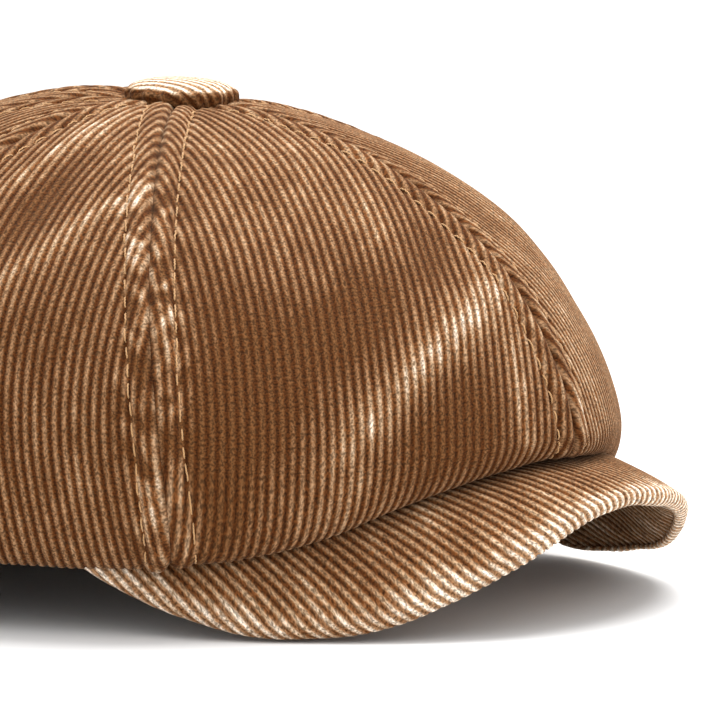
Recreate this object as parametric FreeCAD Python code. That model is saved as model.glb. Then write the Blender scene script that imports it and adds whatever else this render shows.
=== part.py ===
import FreeCAD, Part
import math
import os

# Newsboy cap: eight gored crown panels, stiffened visor, covered button, lining and headband.
# The cap stands as it does on a table: the visor's drooped sides and the back edge touch it.
# Lengths are in mm and angles in degrees. An angle round the cap is 0 at the front (-Y) and
# grows towards the wearer's right (-X).

# Crown
crown_half_width = 110.6
crown_half_length = 134.3
dome_rise = 88.9
dome_power = 1.79
dome_power_front = 0.16
base_rise = 14.8
panel_flatness = 0.5
apex_forward = 35.4
apex_dimple = 2.3
apex_hole = 5.0
cloth = 1.2
seam_gap = 0.12
seam_gap_inside = 0.7
mean_radius = 125.0
last_dome_station = 0.985
seam_angles = [0.0, 47.5, 92.0, 135.0, 180.0]
panel_names = ["front", "side_front", "side_rear", "rear"]

# Lower fold, where the crown turns under: how far it stands in from the widest line, how far
# below it, and its own height round the cap
fold_in_front = 4.4
fold_in_side = 8.6
fold_drop_front = 5.1
fold_drop_side = 24.5
fold_height = [(0, 5.5), (10, 4.2), (20, 0.2), (30, -4.5), (40, -6.6), (50, -6.0), (56, -4.6),
               (62, -3.4), (70, -1.2), (80, 1.7), (110, 2.6), (145, 5.0), (180, 8.4)]

# Head opening and its band
opening_half_width = 84.5
opening_half_length = 98.5
opening_centre_y = -3.0
band_foot = 8.0
band_height = 34.0
sweatband_thickness = 1.2
stiffener_thickness = 0.9
band_gap = 0.4

# Visor
visor_reach = [(0, 147.2), (12, 144.0), (24, 134.3), (36, 122.4), (48, 111.2), (57, 103.4), (62, 98.8),
               (66, 93.4)]
visor_end_angle = 66.0
visor_half_thickness = 2.25
visor_cloth = 1.1
visor_board_half = 1.0
visor_clearance = 0.9
visor_end_drop = 0.6
visor_top_setback = 0.4
visor_board_setback = 0.5
visor_bottom_setback = 1.0

# Lining: the crown's own shape drawn in towards a point inside it, then led to the headband
lining_thickness = 0.6
lining_scale = 0.93
lining_centre = (0.0, -5.0, 20.0)
lining_turn = 0.9
lining_foot = 14.0
lining_outward = 5.0
lining_start = 0.03
lining_seam_gap = 0.25

# Button
button_radius = 13.0
button_height = 6.0
button_cloth = 1.2
button_shell_thickness = 0.6
button_shell_gap = 0.1
button_shell_foot = 0.3
button_back_radius = 9.6
button_back_thickness = 0.8
button_back_foot = 1.0
button_lean = 11.0
button_lift = 0.1
shank_radius = 1.4
shank_length = 5.0
shank_top = 0.9
shank_head_radius = 3.08
shank_head_thickness = 0.8

# Topstitching
stitch_from_seam = 5.7
thread_width = 0.7
thread_height = 0.45
thread_lift = 0.2
stitch_start = 0.125

# The cap leans back by this much when it stands
rest_lean = 8.6


def smooth(t):
    t = min(max(t, 0.0), 1.0)
    return t * t * (3.0 - 2.0 * t)


def table(pairs, x):
    """Smooth curve through the pairs, level at both ends."""
    x = min(max(x, pairs[0][0]), pairs[-1][0])
    k = 0
    while k < len(pairs) - 2 and x > pairs[k + 1][0]:
        k += 1
    x0, y0 = pairs[k]
    x1, y1 = pairs[k + 1]
    t = (x - x0) / (x1 - x0)
    m0 = table_slope(pairs, k) * (x1 - x0)
    m1 = table_slope(pairs, k + 1) * (x1 - x0)
    h1 = t * t * (3 - 2 * t)
    return y0 * (1 - h1) + y1 * h1 + m0 * t * (1 - t) ** 2 - m1 * t * t * (1 - t)


def table_slope(pairs, k):
    if k == 0:
        return 0.0
    if k == len(pairs) - 1:
        return (pairs[k][1] - pairs[k - 1][1]) / (pairs[k][0] - pairs[k - 1][0])
    return (pairs[k + 1][1] - pairs[k - 1][1]) / (pairs[k + 1][0] - pairs[k - 1][0])


def across_panel(angle, panel):
    """Where an angle lies on a panel: -0.5 at one seam and 0.5 at the other."""
    a = abs(angle)
    low = seam_angles[panel]
    high = seam_angles[panel + 1]
    return (a - low) / (high - low) - 0.5


def panel_factor(angle, panel):
    """A gored crown is a little flat between its seams."""
    m = across_panel(angle, panel)
    chord = math.cos(math.radians(22.5)) / math.cos(math.radians(45.0 * m))
    return 1.0 - panel_flatness * (1.0 - chord)


def ellipse_radius(angle, half_width, half_length):
    t = math.radians(angle)
    return 1.0 / math.hypot(math.sin(t) / half_width, math.cos(t) / half_length)


def crown_radius(angle, panel):
    return ellipse_radius(angle, crown_half_width, crown_half_length) * panel_factor(angle, panel)


def fold_in(angle):
    return fold_in_front + (fold_in_side - fold_in_front) * smooth(abs(angle) / 60.0)


def fold_drop(angle):
    return fold_drop_front + (fold_drop_side - fold_drop_front) * smooth(abs(angle) / 60.0)


def fold_radius(angle, panel):
    return crown_radius(angle, panel) - fold_in(angle)


def opening_point(angle, outward):
    """A point on the head opening, the given distance outside the wearer's head."""
    t = math.radians(angle)
    r = ellipse_radius(angle, opening_half_width + outward, opening_half_length + outward)
    return -r * math.sin(t), opening_centre_y - r * math.cos(t)


def visor_middle(x, y):
    """Height of the visor's middle surface, drooped at its sides and curved down to its rim."""
    u = min((x / 80.0) ** 2, 1.35)
    v = min((y + 120.0) / 40.0, 2.3)
    body = 3.8 + 4.8 * v - 29.2 * u + 80.2 * u * v - 58.0 * u * u - 13.9 * v * v - 7.9 * u * u * v
    angle = math.degrees(math.atan2(abs(x), -y))
    return body - visor_end_drop * smooth((angle - 42.0) / 14.0)


def visor_top(x, y):
    return visor_middle(x, y) + visor_half_thickness


def fold_point(angle, panel):
    t = math.radians(angle)
    r = fold_radius(angle, panel)
    x = -r * math.sin(t)
    y = -r * math.cos(t)
    return x, y, table(fold_height, abs(angle))


def under_point(angle, t, panel):
    """The crown's underside, t = 0 at the lower fold and 1 at the head opening."""
    x0, y0, z0 = fold_point(angle, panel)
    x1, y1 = opening_point(angle, sweatband_thickness + stiffener_thickness + 3 * band_gap)
    x = x0 + (x1 - x0) * t
    y = y0 + (y1 - y0) * t
    level = z0 + (band_foot + 1.0 - z0) * t
    over_visor = visor_top(x, y) + visor_clearance + (z0 - visor_top(x0, y0) - visor_clearance) * (1 - t)
    w = 1.0 - smooth((abs(angle) - 58.0) / 14.0)
    z = w * over_visor + (1 - w) * level
    return V(x, y, z)


def dome_height(x, y, angle, s, panel):
    factor = 1.0 - (1.0 - panel_factor(angle, panel)) * s
    rho = min(math.hypot(x / crown_half_width, y / crown_half_length) / factor, 1.0)
    rim = fold_point(angle, panel)[2] + fold_drop(angle)
    power = dome_power + dome_power_front * rho * max(math.cos(math.radians(angle)), 0.0) ** 2
    cap = dome_rise * (1.0 - rho ** power) ** (1.0 / power)
    dimple = apex_dimple * math.exp(-((s * crown_radius(angle, panel) / 16.0) ** 2))
    return cap + rim * rho ** 3 + base_rise * (1.0 - rho ** 3) - dimple


def crown_point(angle, s, panel):
    """Outer face of the crown: s runs 0 to 1 over the dome, 1 to 2 round the lower fold and
    2 to 3 along the underside."""
    t = math.radians(angle)
    ux = -math.sin(t)
    uy = -math.cos(t)
    radius = crown_radius(angle, panel)
    if s <= 1.0:
        x = s * radius * ux
        y = s * radius * uy - (1.0 - s) * apex_forward
        return V(x, y, dome_height(x, y, angle, s, panel))
    if s <= 2.0:
        v = (s - 1.0) * math.pi / 2
        drop = fold_drop(angle)
        r = radius - fold_in(angle) * (1.0 - math.cos(v))
        z = fold_point(angle, panel)[2] + drop * (1.0 - math.sin(v))
        return V(r * ux, r * uy, z)
    return under_point(angle, s - 2.0, panel)


def crown_normal(angle, s, panel):
    side = 0.15
    a = crown_point(angle - side, s, panel)
    b = crown_point(angle + side, s, panel)
    low = max(s - 0.004, 0.002)
    high = min(s + 0.004, 3.0)
    c = crown_point(angle, low, panel)
    d = crown_point(angle, high, panel)
    n = (b - a).cross(d - c)
    n.normalize()
    return n


def crown_skin(angle, s, panel, depth):
    """A point the given depth inside the crown's outer face."""
    return crown_point(angle, s, panel) - crown_normal(angle, s, panel) * depth


def dome_stations(start, count):
    """Even steps down the dome, from near the button to just above its widest line."""
    steps = [start + (last_dome_station - start) * k / count for k in range(count + 1)]
    return [math.sin(step * math.pi / 2) for step in steps]


def crown_stations():
    start = math.asin(apex_hole / mean_radius) / (math.pi / 2)
    dome = dome_stations(start, 14)
    fold = [1.0 + k / 6.0 for k in range(1, 7)]
    under = [2.0 + k / 5.0 for k in range(1, 6)]
    return dome + fold + under


def panel_fan(panel, side, s, gap):
    """Angles across a panel at one distance from the button, clear of its seams by the gap."""
    reach = max(min(s, 1.0) * crown_radius(seam_angles[panel], panel), apex_hole)
    low = seam_angles[panel] + math.degrees(gap / reach)
    high = seam_angles[panel + 1] - math.degrees(gap / reach)
    return [side * (low + (high - low) * k / 8.0) for k in range(9)]


def face_from(grid):
    surface = Part.BSplineSurface()
    surface.interpolate(grid)
    return surface


def rim_edges(surface):
    u0, u1, v0, v1 = surface.bounds()
    return [surface.uIso(u0).toShape(), surface.uIso(u1).toShape(),
            surface.vIso(v0).toShape(), surface.vIso(v1).toShape()]


def close_solid(faces):
    shell = Part.Shell(faces)
    shell.sewShape()
    solid = Part.Solid(shell)
    if solid.Volume < 0:
        solid.reverse()
    return solid


def slab(outer, inner):
    """A solid between two grids of points that match one to one."""
    top = face_from(outer)
    bottom = face_from(inner)
    sides = [Part.makeRuledSurface(a, b, 1) for a, b in zip(rim_edges(top), rim_edges(bottom))]
    return close_solid([top.toShape(), bottom.toShape()] + sides)


def rail(points):
    curve = Part.BSplineCurve()
    curve.interpolate(points)
    return curve.toShape()


def four_rail_bar(rows):
    """A long thin bar from its four corner rails, in order round the section."""
    rails = [rail(points) for points in rows]
    faces = []
    ends = [[], []]
    for k in range(4):
        faces.append(Part.makeRuledSurface(rails[k], rails[(k + 1) % 4], 1))
        ends[0].append(rows[k][0])
        ends[1].append(rows[k][-1])
    for corners in ends:
        first = Part.makeLine(corners[0], corners[1])
        second = Part.makeLine(corners[3], corners[2])
        faces.append(Part.makeRuledSurface(first, second, 1))
    return close_solid(faces)


def crown_panel(panel, side):
    outer = []
    inner = []
    for s in crown_stations():
        outer.append([crown_skin(a, s, panel, 0.0) for a in panel_fan(panel, side, s, seam_gap)])
        inner.append([crown_skin(a, s, panel, cloth) for a in panel_fan(panel, side, s, seam_gap_inside)])
    return slab(outer, inner)


def lining_point(angle, s, panel, depth):
    """s runs 0 to 1 from the button to where the lining leaves the crown, and 1 to 2 from there
    down to the headband."""
    centre = V(*lining_centre)
    hung = crown_point(angle, min(s, 1.0) * lining_turn, panel) - centre
    point = centre + hung * (lining_scale - depth / hung.Length)
    if s <= 1.0:
        return point
    x, y = opening_point(angle, lining_outward - depth)
    foot = V(x, y, band_foot + lining_foot)
    return point + (foot - point) * (s - 1.0)


def lining_panel(panel, side):
    stations = dome_stations(lining_start, 9) + [1.0 + k / 5.0 for k in range(1, 6)]
    outer = []
    inner = []
    for s in stations:
        turn = math.degrees(lining_seam_gap / max(min(s, 1.0) * crown_half_width, 8.0))
        low = seam_angles[panel] + turn
        high = seam_angles[panel + 1] - turn
        angles = [side * (low + (high - low) * k / 6.0) for k in range(7)]
        outer.append([lining_point(a, s, panel, 0.0) for a in angles])
        inner.append([lining_point(a, s, panel, lining_thickness) for a in angles])
    return slab(outer, inner)


def stitch_row(seam, turn, side):
    """One row of topstitching beside a seam: turn is -1 or 1, the panel that it lies on."""
    panel = seam if turn > 0 else seam - 1
    begin = math.asin(stitch_start) / (math.pi / 2)
    stations = dome_stations(begin, 16) + [1.0 + k / 6.0 for k in range(1, 6)]
    rows = [[], [], [], []]
    half = thread_width / 2
    corners = [(-half, thread_lift), (half, thread_lift),
               (half, thread_lift + thread_height), (-half, thread_lift + thread_height)]
    for s in stations:
        reach = min(s, 1.0) * crown_radius(seam_angles[seam], panel)
        for row, (across, lift) in zip(rows, corners):
            away = (stitch_from_seam + across) / reach
            angle = side * (seam_angles[seam] + turn * math.degrees(away))
            row.append(crown_skin(angle, s, panel, -lift))
    return four_rail_bar(rows)


def band_wall(outward, thickness, foot, height):
    """A ring round the head opening whose two ends meet at the back."""
    outer = []
    inner = []
    for k in range(3):
        z = foot + height * k / 2.0
        angles = [-179.8 + 359.6 * j / 48.0 for j in range(49)]
        points_out = [opening_point(a, outward + thickness) for a in angles]
        points_in = [opening_point(a, outward) for a in angles]
        outer.append([V(x, y, z) for x, y in points_out])
        inner.append([V(x, y, z) for x, y in points_in])
    return slab(outer, inner)


def visor_ray(angle, reach):
    t = math.radians(angle)
    return -reach * math.sin(t), -reach * math.cos(t)


def visor_inner_reach(angle):
    x, y = opening_point(angle, sweatband_thickness + stiffener_thickness + 2 * band_gap)
    return math.hypot(x, y)


def visor_normal(x, y):
    step = 0.4
    dx = (visor_middle(x + step, y) - visor_middle(x - step, y)) / (2 * step)
    dy = (visor_middle(x, y + step) - visor_middle(x, y - step)) / (2 * step)
    n = V(-dx, -dy, 1.0)
    n.normalize()
    return n


def visor_point(angle, reach, height):
    x, y = visor_ray(angle, reach)
    return V(x, y, visor_middle(x, y)) + visor_normal(x, y) * height


def rim_point(angle, turn, radius, setback):
    """A point round the rolled rim: turn is 0 on top and 180 underneath."""
    reach = table(visor_reach, abs(angle)) - setback
    a = visor_point(angle, reach - 0.5, 0.0)
    b = visor_point(angle, reach, 0.0)
    out = b - a
    out.normalize()
    x, y = visor_ray(angle, reach)
    n = visor_normal(x, y)
    t = math.radians(turn)
    return b + n * (radius * math.cos(t)) + out * (radius * math.sin(t))


def visor_angles(count):
    return [-visor_end_angle + 2 * visor_end_angle * k / (count - 1.0) for k in range(count)]


def visor_reaches(angle, setback, count):
    low = visor_inner_reach(angle)
    high = table(visor_reach, abs(angle)) - setback
    return [low + (high - low) * k / (count - 1.0) for k in range(count)]


def visor_sheet(height, setback):
    """Columns of points from the head opening to the rim, at one height in the visor."""
    grid = []
    for angle in visor_angles(29):
        grid.append([visor_point(angle, r, height) for r in visor_reaches(angle, setback, 9)])
    return grid


def visor_cover_top():
    """The upper cloth rolls over the rim and ends underneath it."""
    sheet_setback = visor_half_thickness + visor_top_setback
    outer = visor_sheet(visor_half_thickness, sheet_setback)
    inner = visor_sheet(visor_half_thickness - visor_cloth, sheet_setback)
    setback = visor_half_thickness
    for k, angle in enumerate(visor_angles(29)):
        for turn in [15, 40, 65, 90, 115, 140, 160]:
            outer[k].append(rim_point(angle, turn, visor_half_thickness, setback))
            inner[k].append(rim_point(angle, turn, visor_half_thickness - visor_cloth, setback))
    return slab(outer, inner)


def visor_cover_bottom():
    setback = visor_half_thickness + visor_bottom_setback
    return slab(visor_sheet(visor_cloth - visor_half_thickness, setback),
                visor_sheet(-visor_half_thickness, setback))


def visor_board():
    setback = visor_half_thickness + visor_board_setback
    return slab(visor_sheet(visor_board_half, setback), visor_sheet(-visor_board_half, setback))


def button_frame():
    """Origin and axis of the button: it sits on the crown where the panels meet."""
    z = sum(crown_point(a, 0.02, 0).z for a in (5.0, 40.0)) / 2
    return V(0, -apex_forward, z + button_lift)


def place_button(shape):
    placed = shape.copy()
    placed.rotate(V(0, 0, 0), V(1, 0, 0), button_lean)
    placed.translate(button_frame())
    return placed


def turned(profile):
    wire = Part.makePolygon([V(r, 0, z) for r, z in profile] + [V(profile[0][0], 0, profile[0][1])])
    return Part.Face(wire).revolve(V(0, 0, 0), V(0, 0, 1), 360)


def dome_profile(radius, height, foot, count):
    """Half section of a low dome with an upright skirt, from its top to its foot."""
    points = []
    for k in range(count):
        t = math.pi / 2 * k / (count - 1.0)
        r = radius * math.sin(t) ** 0.72
        z = foot + (height - foot) * (0.35 + 0.65 * math.cos(t) ** 0.9)
        points.append((r, z))
    points.append((radius * 0.985, foot))
    return points


def button_cover():
    outer = dome_profile(button_radius, button_height, 0.0, 12)
    inner = dome_profile(button_radius - button_cloth, button_height - button_cloth, 0.0, 12)
    return place_button(turned(outer + inner[::-1]))


def button_shell():
    gap = button_cloth + button_shell_gap
    outer = dome_profile(button_radius - gap, button_height - gap, button_shell_foot, 12)
    gap += button_shell_thickness
    inner = dome_profile(button_radius - gap, button_height - gap, button_shell_foot, 12)
    return place_button(turned(outer + inner[::-1]))


def button_back():
    disc = Part.makeCylinder(button_back_radius, button_back_thickness, V(0, 0, button_back_foot))
    return place_button(disc)


def button_shank():
    foot = shank_top - shank_length
    post = Part.makeCylinder(shank_radius, shank_length, V(0, 0, foot))
    head = Part.makeCylinder(shank_head_radius, shank_head_thickness, V(0, 0, foot - shank_head_thickness))
    return place_button(post.fuse(head).removeSplitter())


def build():
    parts = {}
    sides = [("right", 1.0), ("left", -1.0)]
    for side_name, side in sides:
        for panel, name in enumerate(panel_names):
            parts["crown_panel_%s_%s" % (name, side_name)] = crown_panel(panel, side)
            parts["lining_panel_%s_%s" % (name, side_name)] = lining_panel(panel, side)
    seam_names = ["seam_front", "seam_front_side", "seam_side", "seam_rear_side", "seam_rear"]
    for side_name, side in sides:
        for seam, name in enumerate(seam_names):
            if 0 < seam < 4:
                parts["stitch_%s_%s_fore" % (name, side_name)] = stitch_row(seam, -1, side)
                parts["stitch_%s_%s_aft" % (name, side_name)] = stitch_row(seam, 1, side)
        parts["stitch_seam_front_%s" % side_name] = stitch_row(0, 1, side)
        parts["stitch_seam_rear_%s" % side_name] = stitch_row(4, -1, side)
    parts["visor_cover_top"] = visor_cover_top()
    parts["visor_board"] = visor_board()
    parts["visor_cover_bottom"] = visor_cover_bottom()
    parts["sweatband"] = band_wall(0.0, sweatband_thickness, band_foot, band_height)
    parts["headband_stiffener"] = band_wall(sweatband_thickness + band_gap, stiffener_thickness,
                                            band_foot + 0.5, band_height - 1.0)
    parts["button_cover"] = button_cover()
    parts["button_shell"] = button_shell()
    parts["button_back"] = button_back()
    parts["button_shank"] = button_shank()
    return parts


def stand_up(parts):
    """Leans the cap back to its resting pose and puts the origin under its middle."""
    for shape in parts.values():
        shape.rotate(V(0, 0, 0), V(1, 0, 0), -rest_lean)
    boxes = [shape.optimalBoundingBox() for shape in parts.values()]
    x = (min(b.XMin for b in boxes) + max(b.XMax for b in boxes)) / 2
    y = (min(b.YMin for b in boxes) + max(b.YMax for b in boxes)) / 2
    z = min(b.ZMin for b in boxes)
    for shape in parts.values():
        shape.translate(V(-x, -y, -z))


V = FreeCAD.Vector
os.makedirs("parts", exist_ok=True)
pieces = build()
stand_up(pieces)
for name, shape in pieces.items():
    shape.exportStep("parts/%s.step" % name)
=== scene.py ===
import math

import bpy
import numpy as np
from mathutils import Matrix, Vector


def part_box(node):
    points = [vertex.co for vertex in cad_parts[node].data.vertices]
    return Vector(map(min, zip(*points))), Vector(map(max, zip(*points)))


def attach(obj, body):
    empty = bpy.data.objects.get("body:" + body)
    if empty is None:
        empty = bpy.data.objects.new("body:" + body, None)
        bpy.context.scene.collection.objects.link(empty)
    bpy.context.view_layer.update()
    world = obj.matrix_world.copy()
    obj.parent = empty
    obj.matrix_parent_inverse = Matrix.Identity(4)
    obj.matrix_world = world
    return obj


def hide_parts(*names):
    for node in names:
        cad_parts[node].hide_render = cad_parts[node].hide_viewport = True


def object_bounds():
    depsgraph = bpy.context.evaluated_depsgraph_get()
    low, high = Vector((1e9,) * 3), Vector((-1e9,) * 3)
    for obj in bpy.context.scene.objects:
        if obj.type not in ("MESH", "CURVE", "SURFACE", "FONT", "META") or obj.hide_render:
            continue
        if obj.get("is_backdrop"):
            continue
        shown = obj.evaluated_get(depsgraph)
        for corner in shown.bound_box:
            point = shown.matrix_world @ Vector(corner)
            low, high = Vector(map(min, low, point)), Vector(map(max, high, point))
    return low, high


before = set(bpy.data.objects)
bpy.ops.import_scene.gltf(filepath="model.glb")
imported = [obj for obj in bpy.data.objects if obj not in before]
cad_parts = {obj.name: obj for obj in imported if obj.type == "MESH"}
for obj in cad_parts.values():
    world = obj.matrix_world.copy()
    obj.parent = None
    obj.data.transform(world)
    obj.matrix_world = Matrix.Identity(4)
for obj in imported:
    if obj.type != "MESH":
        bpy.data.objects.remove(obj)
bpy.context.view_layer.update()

# ---------------------------------------------------------------- the cap's measures, mm and degrees
crown_half_width = 110.6
crown_half_length = 134.3
dome_rise = 88.9
dome_power = 1.79
dome_power_front = 0.16
base_rise = 14.8
panel_flatness = 0.5
apex_forward = 35.4
apex_dimple = 2.3
seam_angles = [0.0, 47.5, 92.0, 135.0, 180.0]
panel_names = ["front", "side_front", "side_rear", "rear"]
fold_in_front, fold_in_side = 4.4, 8.6
fold_drop_front, fold_drop_side = 5.1, 24.5
fold_height = [(0, 5.5), (10, 4.2), (20, 0.2), (30, -4.5), (40, -6.6), (50, -6.0), (56, -4.6),
               (62, -3.4), (70, -1.2), (80, 1.7), (110, 2.6), (145, 5.0), (180, 8.4)]
opening_half_width = 84.5
opening_half_length = 98.5
opening_centre_y = -3.0
crown_edge_out, visor_edge_out, lining_foot_out = 2.2, 2.9, 5.0  # where they end, outside the opening
crown_over_visor = 0.9
band_foot, band_height = 8.0, 34.0
visor_reach = [(0, 147.2), (12, 144.0), (24, 134.3), (36, 122.4), (48, 111.2), (57, 103.8), (62, 100.2),
               (68, 96.4), (74, 92.8)]
visor_end_angle = 74.0
roll = 2.25
lining_scale = 0.93
lining_centre = np.array([0.0, -5.0, 20.0])
lining_turn = 0.9
lining_foot = 14.0
button_radius, button_height = 13.0, 6.0
button_lean, button_lift = 11.0, 0.1
stitch_from_seam = 5.7
stitch_length = 4.4
thread_radius = 0.21
rest_lean = 8.6
pitch = 2.3  # from rib to rib
cloth = 1.3
lining_cloth_thickness = 0.6


# ---------------------------------------------------------------- small sums
def smooth(t):
    """0 below 0 and 1 above 1, with a smooth rise between."""
    t = np.clip(t, 0.0, 1.0)
    return t * t * (3.0 - 2.0 * t)


def table(pairs, x):
    """A smooth curve through (x, y) pairs, level at the first."""
    xs, ys = np.array(pairs, float).T
    slope = np.zeros(len(xs))
    slope[1:-1] = (ys[2:] - ys[:-2]) / (xs[2:] - xs[:-2])
    slope[-1] = (ys[-1] - ys[-2]) / (xs[-1] - xs[-2])
    x = np.clip(x, xs[0], xs[-1])
    k = np.clip(np.searchsorted(xs, x, side="right") - 1, 0, len(xs) - 2)
    wide = xs[k + 1] - xs[k]
    t = (x - xs[k]) / wide
    h = t * t * (3 - 2 * t)
    return (ys[k] * (1 - h) + ys[k + 1] * h
            + wide * t * (1 - t) * (slope[k] * (1 - t) - slope[k + 1] * t))


lattice_size = 97
lattices = {}


def lattice(seed):
    """The random values behind one seed's noise, made once."""
    if seed not in lattices:
        size = (lattice_size, lattice_size)
        lattices[seed] = np.random.default_rng(seed).uniform(-1.0, 1.0, size)
    return lattices[seed]


def noise(x, y, seed):
    """Smooth noise from -1 to 1 whose grains are one unit wide."""
    g = lattice(seed)
    x, y = np.broadcast_arrays(np.asarray(x, float), np.asarray(y, float))
    i, j = np.floor(x).astype(int), np.floor(y).astype(int)
    a, b = smooth(x - i), smooth(y - j)

    def at(p, q):
        return g[(i + p) % lattice_size, (j + q) % lattice_size]

    return (at(0, 0) * (1 - a) * (1 - b) + at(1, 0) * a * (1 - b)
            + at(0, 1) * (1 - a) * b + at(1, 1) * a * b)


def unit(v):
    """Vectors of length 1."""
    return v / np.maximum(np.linalg.norm(v, axis=-1, keepdims=True), 1e-12)


def lean(p):
    """Turns points of the level cap to the way it stands, about the origin."""
    a = math.radians(rest_lean)
    x, y, z = np.moveaxis(np.asarray(p, float), -1, 0)
    return np.stack([x, y * math.cos(a) + z * math.sin(a), z * math.cos(a) - y * math.sin(a)], -1)


# the level cap is set on the floor where the CAD's sweatband stands
band_low, band_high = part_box("sweatband")
band_middle = lean((0.0, opening_centre_y, band_foot + band_height / 2))
stand = np.array((band_low + band_high) / 2) * 1000 - band_middle


def placed(p):
    """Level cap, mm, to the row's frame in metres."""
    return (lean(p) + stand) / 1000.0


# ---------------------------------------------------------------- crown
def ellipse_radius(angle, a, b):
    """Radius at an angle from the front of an ellipse a wide and b long."""
    t = np.radians(angle)
    return 1.0 / np.hypot(np.sin(t) / a, np.cos(t) / b)


def panel_factor(angle, panel):
    """A gore bulges less than the round crown: 1 at its seams."""
    low, high = seam_angles[panel], seam_angles[panel + 1]
    m = (np.abs(angle) - low) / (high - low) - 0.5
    chord = math.cos(math.radians(22.5)) / np.cos(np.radians(45.0 * m))
    return 1.0 - panel_flatness * (1.0 - chord)


def opening_point(angle, outward):
    """A point of the head opening's oval, moved outward."""
    t = np.radians(angle)
    r = ellipse_radius(angle, opening_half_width + outward, opening_half_length + outward)
    return -r * np.sin(t), opening_centre_y - r * np.cos(t)


def visor_middle(x, y):
    """Height of a symmetric visor's middle surface: it droops to the sides and curls in front."""
    u = np.minimum((x / 80.0) ** 2, 1.35)
    v = np.minimum((y + 120.0) / 40.0, 2.3)
    body = 3.8 + 4.8 * v - 29.2 * u + 80.2 * u * v - 58.0 * u * u - 13.9 * v * v - 7.9 * u * u * v
    angle = np.degrees(np.arctan2(np.abs(x), -y))
    return body - 0.6 * smooth((angle - 42.0) / 14.0)


def left_lift(x, y):
    """The cap stands a little crooked: the front of its left side is higher than its right, and the
    visor's left end lower."""
    front = 5.0 * smooth((x - 5.0) / 40.0) * (1.0 - smooth((y + 106.0) / 30.0))
    return front - 3.6 * np.exp(-((y + 68.0) / 12.0) ** 2) * smooth((x - 45.0) / 25.0)


def fold_shape(angle):
    """Height of the crown's lower fold, how deep it is and how far it turns in, mm."""
    size = np.abs(angle)
    turn = smooth(size / 60.0)
    crooked = smooth((-angle - 4.0) / 16.0) * (1.0 - smooth((-angle - 30.0) / 15.0))
    low = table(fold_height, size) + 2.2 * crooked
    drop = fold_drop_front + (fold_drop_side - fold_drop_front) * turn
    inset = fold_in_front + (fold_in_side - fold_in_front) * turn
    return low, drop, inset


def crown_dome(s, radius, factor, ux, uy, foot):
    """s runs from 0 at the button to 1 where the dome meets the fold, at height foot."""
    s = np.minimum(s, 1.0)
    x, y = s * radius * ux, s * radius * uy - (1 - s) * apex_forward
    rho = np.minimum(np.hypot(x / crown_half_width, y / crown_half_length) / (1 - (1 - factor) * s), 1.0)
    power = dome_power + dome_power_front * rho * np.maximum(-uy, 0.0) ** 2
    z = (dome_rise * (1.0 - rho ** power) ** (1.0 / power) + foot * rho ** 3
         + base_rise * (1.0 - rho ** 3) - apex_dimple * np.exp(-((s * radius / 16.0) ** 2)))
    return np.stack([x, y, z], -1)


def crown_fold(s, radius, ux, uy, low, drop, inset):
    """s runs from 1 at the dome's foot to 2 at the fold's lowest line."""
    v = (np.clip(s, 1.0, 2.0) - 1.0) * math.pi / 2
    r = radius - inset * (1.0 - np.cos(v))
    return np.stack([r * ux, r * uy, low + drop * (1.0 - np.sin(v))], -1)


def crown_underside(s, angle, radius, ux, uy, low):
    """s runs from 2 at the fold to 3 at the head opening. In front it lies over the visor."""
    q = np.clip(s - 2.0, 0.0, 1.0)
    x0, y0 = radius * ux, radius * uy
    x1, y1 = opening_point(angle, crown_edge_out)
    x, y = x0 + (x1 - x0) * q, y0 + (y1 - y0) * q
    level = low + (band_foot + 1.0 - low) * q
    first = visor_middle(x0, y0) + roll + crown_over_visor
    over = visor_middle(x, y) + roll + crown_over_visor + (low - first) * (1 - q)
    w = 1.0 - smooth((np.abs(angle) - 58.0) / 14.0)
    return np.stack([x, y, w * over + (1 - w) * level], -1)


def crown_point(angle, s, panel):
    """s runs 0 to 1 over the dome, 1 to 2 round the lower fold and 2 to 3 underneath."""
    angle, s = np.broadcast_arrays(np.asarray(angle, float), np.asarray(s, float))
    t = np.radians(angle)
    ux, uy = -np.sin(t), -np.cos(t)
    factor = panel_factor(angle, panel)
    radius = ellipse_radius(angle, crown_half_width, crown_half_length) * factor
    low, drop, inset = fold_shape(angle)
    dome = crown_dome(s, radius, factor, ux, uy, low + drop)
    fold = crown_fold(s, radius, ux, uy, low, drop, inset)
    under = crown_underside(s, angle, radius - inset, ux, uy, low)
    s = s[..., None]
    return np.where(s <= 1.0, dome, np.where(s <= 2.0, fold, under))


def crown_normal(angle, s, panel):
    """Outward normal of the crown."""
    a, b = crown_point(angle - 0.15, s, panel), crown_point(angle + 0.15, s, panel)
    c = crown_point(angle, np.maximum(s - 0.004, 0.002), panel)
    d = crown_point(angle, np.minimum(s + 0.004, 3.0), panel)
    return unit(np.cross(b - a, d - c))


def path_length(points):
    """Distance along a row of points from the first."""
    steps = np.linalg.norm(np.diff(points, axis=-2), axis=-1)
    return np.concatenate([np.zeros(steps.shape[:-1] + (1,)), np.cumsum(steps, -1)], -1)


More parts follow.
